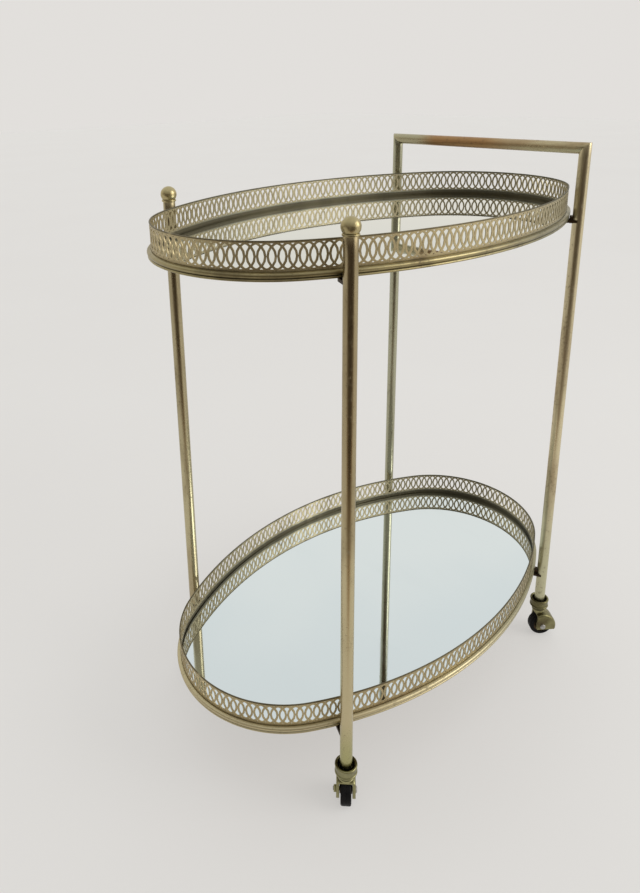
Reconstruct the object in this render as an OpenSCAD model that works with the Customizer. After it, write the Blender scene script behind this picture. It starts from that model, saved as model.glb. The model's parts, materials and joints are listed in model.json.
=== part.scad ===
// Two-tier oval drinks trolley in aged brass, with mirror shelves inside pierced
// galleries, two ball-finial posts, two taller posts joined by a handle bar, and
// four hooded swivel casters.
// Frame: origin on the floor under the middle of the trays, +Z up, +X towards the
// handle end, -Y towards the near long side. Millimetres.

/* [Heights] */
// Height of the handle bar's axis above the floor
handle_h = 800; // [770:1:900]
// Height of the lower rail's underside above the floor
lower_h = 117; // [95:1:250]
// Height of the upper rail's underside above the floor
upper_h = 702; // [400:1:730]

/* [Tray oval] */
// Length of the gallery oval over its outer face
tray_l = 674.3; // [640:0.1:720]
// Width of the gallery oval over its outer face
tray_w = 398.5; // [370:0.1:420]
// Radius of the oval's two end arcs, at the gallery's outer face
end_r = 150; // [140:1:160]

/* [Tubes] */
// Outer diameter of the posts and of the handle bar
tube_d = 16; // [15.5:0.5:19]
// Wall of the tubes
tube_wall = 1.2; // [0.8:0.1:1.5]
// Direction of a post from the centre of its long side arc, in degrees from the X axis
post_ang = 65; // [64:0.5:72]
// Gap between the rail's moulding and a post
post_gap = 3.5; // [2.5:0.5:8]

/* [Rail] */
// Height of the rail's outer moulding
rail_h = 9.5; // [9:0.5:12]
// How far the moulding stands out of the gallery's outer face
rail_proud = 5; // [4.5:0.5:7]
// Radius of the moulding's bead
bead_r = 3; // [2.6:0.1:3.1]
// Radius of the small lip under the bead
lip_r = 1.3; // [1:0.1:1.4]
// Drop of the bead under the rail's top edge, which leaves a fine groove
bead_drop = 0.2; // [0.1:0.05:0.5]
// How far the lip stands back from the bead
lip_back = 0.8; // [0.4:0.1:1.2]
// Height at which the gallery strip sits in the rail
seat_h = 6.5; // [6:0.5:7.5]
// Width of the ledge that carries the shelf, from the gallery's outer face
ledge_w = 13; // [8:0.5:25]
// Thickness of the ledge
ledge_t = 0.8; // [0.8:0.1:1.2]

/* [Gallery] */
// Height of a tier from the rail's underside to the gallery's top
tier_h = 42; // [40:0.5:50]
// Thickness of the gallery strip
gallery_t = 1.2; // [0.8:0.1:1.8]
// Rings round one gallery
ring_count = 160; // [140:4:180]
// Width of a ring's strip
ring_strip = 2.5; // [2.2:0.1:3]
// Height of the bead along the gallery's top edge
brim_h = 1.6; // [1.2:0.1:2.4]
// Thickness of that bead
brim_t = 2; // [2:0.1:3]
// Share of a small opening's height at which it comes to a point, towards the middle
kite_foot = 0.45; // [0.35:0.05:0.6]
// Share of the strip that the side corners of a small opening leave
kite_inset = 0.7; // [0.6:0.05:0.9]

/* [Shelves] */
// Thickness of the mirror glass
mirror_t = 2; // [2:0.5:3]
// Thickness of the backing board under the mirror
backing_t = 1; // [1:0.1:1.5]
// Gap round the mirror and its board
shelf_gap = 0.8; // [0.3:0.1:2]

/* [Lugs] */
// Width of a post lug
lug_w = 16; // [14:1:22]
// Thickness of the lug's plate, under the rail
lug_t = 4; // [3:0.5:5]
// Reach of the plate inwards of the gallery's outer face
lug_in = 6; // [5:0.5:12]
// Width of the lug's upright, between rail and post
upright_w = 10; // [8:1:12]
// Drop of the upright under the rail
upright_drop = 5; // [4.5:0.5:9]
// Rise of the upright beside the rail
upright_rise = 5; // [4:0.5:9]
// Diameter of the lug screws
screw_d = 3; // [2.5:0.1:3.2]
// Depth of the screw holes in the rail
screw_depth = 5; // [4:0.5:5.5]
// Diameter of a screw's head
screw_head_d = 5.6; // [5:0.1:7]
// Height of a screw's head
screw_head_h = 1.8; // [1.2:0.1:2.2]

/* [Finials] */
// Diameter of the ball finials
ball_d = 21; // [19:0.5:26]
// Height of a ball's centre above the gallery's top
ball_rise = 13.5; // [12:0.5:30]
// Diameter of the flange under a ball
flange_d = 18.6; // [18:0.2:22]
// Height of that flange
flange_h = 2.6; // [2:0.2:4]
// Diameter of the neck between flange and ball
neck_d = 17; // [13:0.5:17.5]
// How far the neck's top edge lies inside the ball
neck_lap = 0.5; // [0.2:0.1:1]
// Length of the shank inside the tube
shank_l = 16; // [8:1:30]

/* [Wheels] */
// Diameter of a wheel over its tyre
wheel_d = 38; // [34:1:44]
// Width of the tyre
tyre_w = 14; // [11:0.5:16]
// Depth of the tyre from tread to hub
tyre_depth = 6; // [4:0.5:8]
// Rounding of the tyre's shoulders
tyre_round = 2.5; // [1:0.5:3.5]
// Thickness of the hub's web
web_t = 5; // [3:0.5:8]
// Thickness of the hub's rim
rim_t = 2; // [1.5:0.1:3]
// How far the hub's rim ends inside the tyre's side
rim_in = 1; // [0.5:0.1:2]
// Diameter of the hub's boss
boss_d = 11; // [9:0.5:13]
// Diameter of the axle
axle_d = 5; // [4:0.2:6]
// Diameter of the axle's head
axle_head_d = 9; // [8:0.5:11]
// Height of the axle's head
axle_head_h = 2; // [1.5:0.1:3]
// Width of the axle's nut over its flats
nut_af = 8; // [7.5:0.1:10]
// Height of the axle's nut
nut_h = 3.2; // [2.5:0.1:4]

/* [Swivels] */
// Distance from the swivel axis back to the wheel axle
trail = 5; // [3:0.5:8]
// Space between tyre and hood
hood_space = 1.6; // [1.2:0.1:3]
// Inner half width of the hood
hood_half = 8.5; // [8.2:0.1:11]
// Wall of the hood over the tread
hood_t = 1.8; // [1.6:0.1:2.2]
// Thickness of the hood's cheeks
cheek_t = 4; // [2:0.1:4.5]
// Height of the hood's lower edge above the floor
hood_lift = 13.5; // [10:0.5:14]
// Reach of the hood's cheeks ahead of the swivel axis
cheek_reach = 6; // [5:0.5:10]
// Reach of the hood's crown ahead of the swivel axis
crown_reach = 4; // [2:0.5:6]
// Diameter of the neck between hood and cup
hood_neck_d = 13; // [12:0.5:14]
// Height of that neck above the hood's highest point
hood_neck_h = 4.6; // [4:0.1:8]
// How far that neck reaches down into the hood's crown
hood_neck_lap = 1.5; // [1.2:0.1:1.5]
// Outer diameter of the cup
cup_d = 29; // [28:0.5:34]
// Wall of the cup
cup_wall = 3.4; // [2.5:0.1:4]
// Height of the cup
cup_h = 22.5; // [20:0.5:28]
// Thickness of the cup's floor
cup_floor = 2.5; // [2:0.5:3]
// Diameter of the cup's foot
cup_foot_d = 21; // [20:0.5:24]
// Height of the cup's foot
cup_foot_h = 6.5; // [5:0.5:8]
// Height over which the foot flares out to the cup
cup_flare = 2; // [1:0.5:3]
// Diameter of the stem
stem_d = 10; // [9:0.5:10.5]
// Diameter of the stem's riveted foot
foot_d = 8; // [6:0.5:8.5]
// Length of the foot inside the hood's neck
foot_l = 3.6; // [2:0.2:5]
// Diameter of the stem's shoulder
shoulder_d = 16; // [14:0.5:18]
// Height of the stem's shoulder
shoulder_h = 2.1; // [1.5:0.1:4]
// Length of the stem inside its socket
stem_l = 40; // [30:1:60]
// Height of the socket's flange
socket_flange_h = 2; // [1.5:0.1:4]
// Height of the grip ring on the stem
grip_h = 2.4; // [1.8:0.1:3]
// Depth of the groove that holds the grip ring
grip_depth = 1; // [0.6:0.1:1.5]
// Play of the grip ring along its groove, on each side
grip_play = 0.1; // [0.05:0.05:0.3]
// Bevel at the stem's tip
tip_bevel = 1.5; // [0.8:0.1:2.5]
// Length of the bands round the lower end and the mouth of the cup
cup_band = 3.4; // [2:0.1:4]
// How far the cup's waist lies behind its bands
waist_in = 0.8; // [0.4:0.1:1]
// Bevel at the base of the cup's foot
cup_bevel = 0.8; // [0.6:0.1:1.2]
// Rounding of the cup's lip
cup_lip = 1.4; // [0.8:0.1:1.6]

/* [Clearances] */
// Radial clearance of a turning fit
run_gap = 0.05; // [0.03:0.01:0.08]
// Radial clearance of a fixed fit
fix_gap = 0.05; // [0.02:0.01:0.1]
// Play between faces that turn past each other
face_gap = 0.3; // [0.2:0.05:0.5]

/* [Caster directions] */
// Direction in which caster 1, finial end near side, trails
trail_dir_1 = 44; // [-180:1:180]
// Direction in which caster 2, finial end far side, trails
trail_dir_2 = 155; // [-180:1:180]
// Direction in which caster 3, handle end near side, trails
trail_dir_3 = -38; // [-180:1:180]
// Direction in which caster 4, handle end far side, trails
trail_dir_4 = 80; // [-180:1:180]

/* [Hidden] */
$fn = 72;
sweep_fn = 360;
// Overshoot of a cutting shape past the face that it opens
over = 1;

// The four-centre oval: end arcs about (+-end_c, 0), long side arcs about (0, -+side_c)
half_l = tray_l/2;
half_w = tray_w/2;
end_c = half_l - end_r;
side_r = (pow(end_c, 2) + pow(half_w, 2) - pow(end_r, 2))/(2*(half_w - end_r));
side_c = side_r - half_w;
join_ang = atan2(side_c, end_c);
end_arc_l = end_r*join_ang*PI/180;
quarter_l = end_arc_l + side_r*(90 - join_ang)*PI/180;

// Posts
tube_r = tube_d/2;
bore_r = tube_r - tube_wall;
post_off = rail_proud + post_gap + tube_r;
post_x = (side_r + post_off)*cos(post_ang);
post_y = (side_r + post_off)*sin(post_ang) - side_c;
CORNERS = [[-1, -1], [-1, 1], [1, -1], [1, 1]];
TIERS = [lower_h, upper_h];

// Rings: the pitch makes every third ring touch
pitch = 4*quarter_l/ring_count;
ring_r = 1.5*pitch;
ring_mid_h = tier_h - ring_r;
wave_r = ring_r - ring_strip/2;
open_r = wave_r - ring_strip/2;

// Shelves
mirror_h = ledge_t + backing_t;
shelf_in = gallery_t + shelf_gap;

// Lug screws stand in the thick of the rail
screw_off = (rail_proud - bead_r + lip_r - gallery_t)/2;

// Casters, from the floor up
wheel_r = wheel_d/2;
hood_r = wheel_r + hood_space;
hood_out_r = hood_r + hood_t;
hood_top_h = wheel_r + hood_out_r;
cup_base_h = hood_top_h + hood_neck_h;
out_half = hood_half + cheek_t;
neck_r = hood_neck_d/2;
shoulder_z = cup_base_h + cup_floor;
stem_z = shoulder_z + shoulder_h;
socket_z = stem_z + face_gap;
post_foot = socket_z + socket_flange_h;
stem_top = post_foot + stem_l;
socket_bore_r = stem_d/2 + run_gap;
sleeve_r = bore_r - fix_gap;
grip_z = stem_top - 4*grip_h;
grip_out_r = stem_d/2 + grip_depth/2;
groove_r = stem_d/2 - grip_depth;
TRAIL_DIRS = [trail_dir_1, trail_dir_2, trail_dir_3, trail_dir_4];

// Finials
ball_z = upper_h + tier_h + ball_rise;
post_top = ball_z - ball_d/2 - flange_h + ball_sink();

CASTER_PIECES = ["cup", "stem", "grip_ring", "hood", "axle", "axle_nut", "hub", "tyre"];

BRASS = "#a8935a";
DARK_BRASS = "#8a7748";
MIRROR = "#c9d2d2";
BOARD = "#5b4a38";
STEEL = "#8d8d88";
RUBBER = "#1b1a19";

// How far the ball's underside reaches into its neck
function ball_sink() = ball_d/2 - sqrt(pow(ball_d/2, 2) - pow(neck_d/2 - neck_lap, 2));

// Points of an arc, ends included
function arc_points(centre, r, from, to, steps) =
  [for (i = [0:steps]) centre + r*[cos(from + (to - from)*i/steps), sin(from + (to - from)*i/steps)]];

// Place on the oval at length s from the +X end, as [x, y, outward direction]
function oval_place(s) =
  s < 0 ? oval_place(s + 4*quarter_l) :
  s > 2*quarter_l ? flip_y(oval_place(4*quarter_l - s)) :
  s > quarter_l ? flip_x(oval_place(2*quarter_l - s)) :
  s < end_arc_l ? on_arc([end_c, 0], end_r, s/end_r*180/PI) :
  on_arc([0, -side_c], side_r, join_ang + (s - end_arc_l)/side_r*180/PI);
function on_arc(centre, r, a) = [centre.x + r*cos(a), centre.y + r*sin(a), a];
function flip_x(p) = [-p.x, p.y, 180 - p.z];
function flip_y(p) = [p.x, -p.y, -p.z];

// Space in which a long side arc runs, between rays through the end arcs' centres
module side_space(far) {
  reach = 3;
  mirror([0, far ? 0 : 1])
    linear_extrude(3*tier_h, center = true)
      polygon([[0, -side_c], [reach*end_c, (reach - 1)*side_c], [-reach*end_c, (reach - 1)*side_c]]);
}

// Moves in two steps, whole millimetres first, so that no digit of the place is lost
module shift(v) {
  whole = [for (part = v) floor(part)];
  translate(whole) translate(v - whole) children();
}

// Turns a profile, with x outwards and y up, round one of the oval's centres
module ring(centre, r) {
  shift([centre.x, centre.y, 0])
    rotate_extrude($fn = sweep_fn)
      shift([r, 0])
        children();
}

module side_arc(far) {
  intersection() {
    ring([0, far ? -side_c : side_c], side_r) children();
    side_space(far);
  }
}

module end_arcs() {
  for (side = [-1, 1]) difference() {
    ring([side*end_c, 0], end_r) children();
    side_space(true);
    side_space(false);
  }
}

// Sweeps a profile round the whole oval
module sweep_oval() {
  end_arcs() children();
  side_arc(true) children();
  side_arc(false) children();
}

// Sweeps a profile round the far half of the oval, or the near one
module sweep_half(far) {
  intersection() {
    end_arcs() children();
    translate([-tray_l, far ? 0 : -tray_w, 0]) cube([2*tray_l, tray_w, 2*tier_h]);
  }
  side_arc(far) children();
}

// Flat oval, drawn in from the gallery's outer face by inset
module oval_2d(inset) {
  r_end = end_r - inset;
  r_side = side_r - inset;
  join = [end_c + r_end*cos(join_ang), r_end*sin(join_ang)];
  polygon([[end_c, 0], join, [-join.x, join.y], [-end_c, 0], [-join.x, -join.y], [join.x, -join.y]]);
  for (side = [0, 1]) mirror([side, 0]) translate([end_c, 0]) intersection() {
    circle(r_end, $fn = sweep_fn);
    polygon([[0, 0], 2*(join - [end_c, 0]), [3*r_end, 0], 2*[join.x - end_c, -join.y]]);
  }
  for (side = [0, 1]) mirror([0, side]) intersection() {
    translate([0, -side_c]) circle(r_side, $fn = sweep_fn);
    translate([-join.x, join.y]) square([2*join.x, half_w]);
  }
}

// Moulding, web and ledge of a rail
module rail_profile() {
  bead = [rail_proud - bead_r, rail_h - bead_r - bead_drop];
  lip = [rail_proud - lip_back - lip_r, lip_r];
  quirk = [lip.x, (lip.y + lip_r + bead.y - bead_r)/2 + bead_drop];
  polygon(concat(
    [[-ledge_w, 0]],
    arc_points(lip, lip_r, -90, 50, 6),
    [quirk],
    arc_points(bead, bead_r, -65, 75, 10),
    [[bead.x, rail_h], [0, rail_h], [0, seat_h], [-gallery_t, seat_h]],
    [[-gallery_t, ledge_t], [-ledge_w, ledge_t]]
  ));
}

module rail(h) {
  color(BRASS) translate([0, 0, h]) difference() {
    sweep_oval() rail_profile();
    at_posts() translate([screw_off - post_off, 0, -over])
      cylinder(d = screw_d + 2*fix_gap, h = screw_depth + over);
  }
}

// Gallery strip: a plain foot in the rail, then interlaced rings, then a beaded edge
module strip_profile() {
  translate([-gallery_t, seat_h]) square([gallery_t, tier_h - seat_h - brim_h]);
  translate([-(gallery_t + brim_t)/2, tier_h - brim_h]) square([brim_t, brim_h]);
}

// Tall opening between a ring's neighbours
module vesica() {
  reach = acos(pitch/open_r);
  steps = 6;
  last = reach - 2*reach/steps;
  polygon(concat(
    arc_points([-pitch, 0], open_r, -reach, last, steps - 1),
    arc_points([pitch, 0], open_r, 180 - reach, 180 + last, steps - 1)
  ));
}

// Small opening above or below the place where two rings touch
module kite() {
  rim_h = sqrt(pow(open_r, 2) - pow(pitch/2, 2));
  side_h = sqrt(pow(wave_r, 2) - pow(pitch, 2));
  side_x = pitch/2 - ring_strip*kite_inset;
  polygon([[0, side_h*kite_foot], [side_x, side_h], [0, rim_h], [-side_x, side_h]]);
}

module piercing(s) {
  place = oval_place(s);
  translate([place.x, place.y, ring_mid_h])
    rotate([90, 0, place.z + 90])
      translate([0, 0, -2*gallery_t])
        linear_extrude(3*gallery_t)
          children();
}

module gallery(h, far) {
  start = far ? 0 : 2*quarter_l;
  half_count = ring_count/2;
  color(BRASS) translate([0, 0, h]) difference() {
    sweep_half(far) strip_profile();
    for (i = [0:half_count - 1]) piercing(start + (i + 0.5)*pitch) vesica();
    for (i = [1:half_count - 1]) {
      piercing(start + i*pitch) kite();
      piercing(start + i*pitch) mirror([0, 1]) kite();
    }
  }
}

module shelf_plate(h, base, t, shade) {
  color(shade) translate([0, 0, h + base]) linear_extrude(t) oval_2d(shelf_in);
}

// Children in each post's own frame, with +x outwards from the tray
module at_posts() {
  for (c = CORNERS) at_post(c) children();
}

module at_post(c) {
  translate([c.x*post_x, c.y*post_y, 0])
    rotate([0, 0, c.y*(c.x > 0 ? post_ang : 180 - post_ang)])
      children();
}

module tube(l) {
  difference() {
    cylinder(r = tube_r, h = l);
    translate([0, 0, -over]) cylinder(r = bore_r, h = l + 2*over);
  }
}

module finial_post(c) {
  color(BRASS) translate([c.x*post_x, c.y*post_y, post_foot]) tube(post_top - post_foot);
}

module handle_post(c) {
  color(BRASS) translate([c.x*post_x, c.y*post_y, 0]) intersection() {
    translate([0, 0, post_foot]) tube(handle_h + tube_r - post_foot);
    below_mitre(c.y);
  }
}

// Space under the 45 degree plane that rises outwards through a handle corner
module below_mitre(side) {
  reach = 3*tube_r;
  rotate([90, 0, 90])
    translate([0, 0, -reach])
      linear_extrude(2*reach)
        polygon([
          [-reach, 0], [reach, 0], [reach, handle_h + side*reach], [-reach, handle_h - side*reach]
        ]);
}

module handle_bar() {
  reach = post_y + tube_r;
  color(BRASS) difference() {
    translate([post_x, -reach, handle_h]) rotate([-90, 0, 0]) tube(2*reach);
    for (side = [-1, 1]) translate([post_x, side*post_y, 0]) below_mitre(side);
  }
}

module ball_finial(c) {
  color(BRASS) translate([c.x*post_x, c.y*post_y, 0]) {
    translate([0, 0, ball_z]) sphere(d = ball_d);
    translate([0, 0, post_top]) cylinder(d = flange_d, h = flange_h);
    translate([0, 0, post_top]) cylinder(d = neck_d, h = ball_z - post_top - ball_d/4);
    translate([0, 0, post_top - shank_l]) cylinder(r = sleeve_r, h = shank_l + flange_h/2);
  }
}

// Lug: a plate under the rail and an upright between the rail and the post
module post_lug() {
  difference() {
    union() {
      translate([0, 0, -lug_t]) linear_extrude(lug_t) {
        translate([lug_w/2 - lug_in - post_off, 0]) circle(d = lug_w);
        translate([lug_w/2 - lug_in - post_off, -lug_w/2]) square([post_off + lug_in - lug_w/2, lug_w]);
      }
      translate([rail_proud + fix_gap - post_off, -upright_w/2, -upright_drop])
        cube([post_off - rail_proud, upright_w, upright_drop + upright_rise]);
    }
    translate([0, 0, -2*upright_drop]) cylinder(r = tube_r, h = 3*upright_drop + 2*upright_rise);
    translate([screw_off - post_off, 0, -2*lug_t]) cylinder(d = screw_d + 4*fix_gap, h = 3*lug_t);
  }
}

module post_lugs() {
  color(DARK_BRASS) for (h = TIERS) translate([0, 0, h]) at_posts() post_lug();
}

module lug_screw() {
  translate([screw_off - post_off, 0, -lug_t]) {
    cylinder(d = screw_d, h = lug_t + screw_depth - face_gap);
    translate([0, 0, -screw_head_h]) cylinder(d = screw_head_d, h = screw_head_h);
  }
}

module lug_screws() {
  color(STEEL) for (h = TIERS) translate([0, 0, h]) at_posts() lug_screw();
}

// Socket: a sleeve in the foot of a post, with a recess for the stem's grip ring
module caster_socket() {
  difference() {
    union() {
      translate([0, 0, socket_z]) cylinder(r = tube_r, h = socket_flange_h);
      translate([0, 0, socket_z]) cylinder(r = sleeve_r, h = stem_top - socket_z);
    }
    translate([0, 0, socket_z - over]) cylinder(r = socket_bore_r, h = stem_top - socket_z + 2*over);
    translate([0, 0, grip_z - face_gap]) cylinder(r = grip_out_r + face_gap, h = grip_h + 2*face_gap);
  }
}

module caster_sockets() {
  color(STEEL) for (c = CORNERS) translate([c.x*post_x, c.y*post_y, 0]) caster_socket();
}

// Casters: +x is the trailing direction, the swivel axis is at the origin
module at_caster(i) {
  translate([CORNERS[i].x*post_x, CORNERS[i].y*post_y, 0]) rotate([0, 0, TRAIL_DIRS[i]]) children();
}

module at_axle() {
  translate([trail, 0, wheel_r]) rotate([-90, 0, 0]) children();
}

module cup() {
  rim_r = cup_d/2;
  waist_r = rim_r - waist_in;
  inner_r = rim_r - cup_wall;
  foot_r = cup_foot_d/2;
  body_h = cup_foot_h + cup_flare;
  well_r = shoulder_d/2 + 2*face_gap;
  bore = foot_d/2 + fix_gap;
  color(BRASS) translate([0, 0, cup_base_h]) rotate_extrude() polygon([
    [bore, 0], [foot_r - cup_bevel, 0], [foot_r, cup_bevel], [foot_r, cup_foot_h - waist_in],
    [rim_r, body_h], [rim_r, body_h + cup_band], [waist_r, body_h + cup_band + waist_in],
    [waist_r, cup_h - cup_band - waist_in], [rim_r, cup_h - cup_band],
    [rim_r, cup_h - cup_lip], [rim_r - cup_lip, cup_h], [inner_r + cup_lip, cup_h],
    [inner_r, cup_h - cup_lip], [inner_r, body_h + cup_flare], [well_r, body_h], [well_r, cup_floor],
    [bore, cup_floor]
  ]);
}

module stem() {
  color(STEEL) rotate_extrude() polygon([
    [0, cup_base_h - foot_l], [foot_d/2, cup_base_h - foot_l], [foot_d/2, shoulder_z],
    [shoulder_d/2, shoulder_z], [shoulder_d/2, stem_z], [stem_d/2, stem_z],
    [stem_d/2, grip_z], [groove_r, grip_z], [groove_r, grip_z + grip_h],
    [stem_d/2, grip_z + grip_h], [stem_d/2, stem_top - tip_bevel],
    [stem_d/2 - tip_bevel, stem_top], [0, stem_top]
  ]);
}

// Split spring ring in the stem's groove
module grip_ring() {
  color(STEEL) translate([0, 0, grip_z + grip_play]) rotate_extrude(angle = 330)
    translate([groove_r + fix_gap, 0]) square([grip_out_r - groove_r - fix_gap, grip_h - 2*grip_play]);
}

// Hood: round over the wheel, open in front, with a neck that carries the cup
module hood() {
  color(BRASS) difference() {
    union() {
      intersection() {
        at_axle() cylinder(r = hood_out_r, h = 2*out_half, center = true);
        rotate([90, 0, 0]) translate([0, 0, -2*out_half]) linear_extrude(4*out_half) polygon([
          [hood_t - cheek_reach, hood_lift], [3*hood_out_r, hood_lift], [3*hood_out_r, cup_base_h],
          [-crown_reach, hood_top_h], [-cheek_reach, hood_lift + 2*hood_t]
        ]);
      }
      translate([0, 0, hood_top_h - hood_neck_lap]) cylinder(r = neck_r, h = hood_neck_h + hood_neck_lap);
    }
    at_axle() cylinder(r = hood_r, h = 2*hood_half, center = true);
    at_axle() cylinder(r = axle_d/2 + fix_gap, h = 3*out_half, center = true);
    translate([0, 0, cup_base_h - foot_l - fix_gap]) cylinder(r = foot_d/2 + fix_gap, h = foot_l + over);
  }
}

// Axle: a pin through the hood with a flat head, and a nut on its other end
module axle() {
  color(STEEL) at_axle() {
    translate([0, 0, -out_half]) cylinder(d = axle_d, h = 2*out_half + nut_h + over);
    translate([0, 0, -out_half - axle_head_h]) cylinder(d = axle_head_d, h = axle_head_h);
  }
}

module axle_nut() {
  color(BRASS) at_axle() translate([0, 0, out_half]) difference() {
    cylinder(d = nut_af/cos(30), h = nut_h, $fn = 6);
    translate([0, 0, -over]) cylinder(r = axle_d/2 + fix_gap, h = nut_h + 2*over);
  }
}

module hub() {
  bore = axle_d/2 + run_gap;
  rim_r = wheel_r - tyre_depth;
  well_r = rim_r - rim_t;
  half_boss = hood_half - face_gap;
  half_rim = tyre_w/2 - rim_in;
  color(DARK_BRASS) at_axle() rotate_extrude() polygon([
    [bore, -half_boss], [boss_d/2, -half_boss], [boss_d/2, -web_t/2], [well_r, -web_t/2],
    [well_r, -half_rim], [rim_r, -half_rim], [rim_r, half_rim], [well_r, half_rim],
    [well_r, web_t/2], [boss_d/2, web_t/2], [boss_d/2, half_boss], [bore, half_boss]
  ]);
}

module tyre() {
  rim_r = wheel_r - tyre_depth + fix_gap;
  shoulder = [wheel_r - tyre_round, tyre_w/2 - tyre_round];
  color(RUBBER) at_axle() rotate_extrude() polygon(concat(
    [[rim_r, -tyre_w/2]],
    arc_points([shoulder.x, -shoulder.y], tyre_round, -90, 0, 5),
    arc_points(shoulder, tyre_round, 0, 90, 5),
    [[rim_r, tyre_w/2]]
  ));
}

finial_post(CORNERS[0]);  // finial_post_near
finial_post(CORNERS[1]);  // finial_post_far
handle_post(CORNERS[2]);  // handle_post_near
handle_post(CORNERS[3]);  // handle_post_far
handle_bar();
ball_finial(CORNERS[0]);  // ball_finial_near
ball_finial(CORNERS[1]);  // ball_finial_far
rail(lower_h);  // lower_rail
rail(upper_h);  // upper_rail
gallery(lower_h, false);  // lower_gallery_near
gallery(lower_h, true);  // lower_gallery_far
gallery(upper_h, false);  // upper_gallery_near
gallery(upper_h, true);  // upper_gallery_far
shelf_plate(lower_h, mirror_h, mirror_t, MIRROR);  // lower_mirror
shelf_plate(upper_h, mirror_h, mirror_t, MIRROR);  // upper_mirror
shelf_plate(lower_h, ledge_t, backing_t, BOARD);  // lower_backing
shelf_plate(upper_h, ledge_t, backing_t, BOARD);  // upper_backing
post_lugs();
lug_screws();
caster_sockets();
for (i = [0:3]) {
  at_caster(i) cup();
  at_caster(i) stem();
  at_caster(i) grip_ring();
  at_caster(i) hood();
  at_caster(i) axle();
  at_caster(i) axle_nut();
  at_caster(i) hub();
  at_caster(i) tyre();
}
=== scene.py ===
"""The looks of a two-tier oval drinks trolley in aged brass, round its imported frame. Metres."""
import json
import math

import bmesh
import bpy
import numpy as np
from mathutils import Matrix, Vector


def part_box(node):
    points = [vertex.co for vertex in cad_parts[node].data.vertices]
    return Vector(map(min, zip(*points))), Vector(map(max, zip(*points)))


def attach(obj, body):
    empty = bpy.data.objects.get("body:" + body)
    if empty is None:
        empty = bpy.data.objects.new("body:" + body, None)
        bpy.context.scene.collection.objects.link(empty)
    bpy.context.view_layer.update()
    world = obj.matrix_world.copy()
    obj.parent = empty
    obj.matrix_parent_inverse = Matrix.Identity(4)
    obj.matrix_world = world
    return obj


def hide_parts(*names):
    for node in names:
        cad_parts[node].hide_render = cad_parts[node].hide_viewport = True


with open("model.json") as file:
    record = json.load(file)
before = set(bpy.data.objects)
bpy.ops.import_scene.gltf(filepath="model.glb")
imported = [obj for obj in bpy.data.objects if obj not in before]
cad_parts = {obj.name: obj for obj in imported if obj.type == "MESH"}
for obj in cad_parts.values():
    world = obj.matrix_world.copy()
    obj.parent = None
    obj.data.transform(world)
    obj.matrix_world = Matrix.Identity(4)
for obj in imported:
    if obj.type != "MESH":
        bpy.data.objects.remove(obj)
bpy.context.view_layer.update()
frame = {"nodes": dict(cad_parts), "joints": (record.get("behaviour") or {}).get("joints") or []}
FRAME_BODY = "trolley_frame"
CASTER_NUMBERS = (1, 2, 3, 4)

# The trays' oval: two end arcs and two long side arcs, over the gallery's outer face
TRAY_LENGTH = 0.6743
TRAY_WIDTH = 0.3985
END_RADIUS = 0.150
END_CENTRE = TRAY_LENGTH/2 - END_RADIUS
SIDE_RADIUS = (END_CENTRE**2 + (TRAY_WIDTH/2)**2 - END_RADIUS**2)/(TRAY_WIDTH - 2*END_RADIUS)
SIDE_CENTRE = SIDE_RADIUS - TRAY_WIDTH/2
JOIN = math.atan2(SIDE_CENTRE, END_CENTRE)
END_ARC = END_RADIUS*JOIN
SIDE_ARC = SIDE_RADIUS*(math.pi - 2*JOIN)
HALF_ROUND = 2*END_ARC + SIDE_ARC

# Tiers, measured up from the underside of each rail
TIERS = {tier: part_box(f"{tier}_rail")[0].z for tier in ("lower", "upper")}
RAIL_H = 0.0095
RAIL_PROUD = 0.005
BEAD_R = 0.003
LIP_R = 0.0013
SEAT_H = 0.0065
LEDGE_W = 0.013
LEDGE_T = 0.0008
TIER_H = 0.042
GALLERY_T = 0.0012
RING_COUNT = 160
RING_STRIP = 0.0025
BRIM_H = 0.0016
BRIM_T = 0.002
PITCH = 2*HALF_ROUND/RING_COUNT
RING_R = 1.5*PITCH
RING_MID = TIER_H - RING_R
SHELF_INSET = 0.002
BOARD_T = 0.001
GLASS_T = 0.002

# Posts and handle
TUBE_R = 0.008
TUBE_WALL = 0.0012
POST_ANGLE = math.radians(65)
POST_OFF = 0.0165
HANDLE_H = sum(corner.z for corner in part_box("handle_bar"))/2
BALL_R = 0.0105
FLANGE_R = 0.0093
FLANGE_H = 0.0026
NECK_R = 0.0085
SHANK_L = 0.016

# Lugs under the rails
LUG_W = 0.016
LUG_T = 0.004
LUG_IN = 0.006
UPRIGHT_W = 0.010
UPRIGHT_DROP = 0.005
UPRIGHT_RISE = 0.005
SCREW_OFF = 0.00105
SCREW_R = 0.0015
SCREW_HEAD_R = 0.0028
SCREW_HEAD_H = 0.0018

# Casters, in their own frame: swivel axis at the origin, +x trailing
TRAIL = 0.005
WHEEL_R = 0.019
TYRE_W = 0.014
RIM_R = 0.013
HOOD_R = 0.0224
HOOD_HALF = 0.0125
HOOD_T = 0.0018
CHEEK_T = 0.004
HOOD_LIFT = 0.0135
CHEEK_REACH = 0.006
CROWN_REACH = 0.004
HOOD_NECK_R = 0.0065
HOOD_NECK_LAP = 0.0015
CUP_R = 0.0145
CUP_H = 0.0225
CUP_WALL = 0.0034
CUP_FLOOR = 0.0025
CUP_FOOT_R = 0.0105
CUP_FOOT_H = 0.0065
CUP_WELL_R = 0.0086
CUP_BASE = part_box("cup_1")[0].z
STEM_BORE_R = 0.00405
AXLE_R = 0.0025

# Gap between pieces that fit in one another, and the length of a cutter that goes right through
FIT = 0.00005
CUTTER_L = 0.1

# Level direction in which the camera looks
AWAY = Vector((0.65, 0.76, 0))

SPIN_STEPS = 48
MERGE_GAP = 1e-6
EDGE = "edge"
SMOOTH_ANGLE = math.radians(35)
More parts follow.
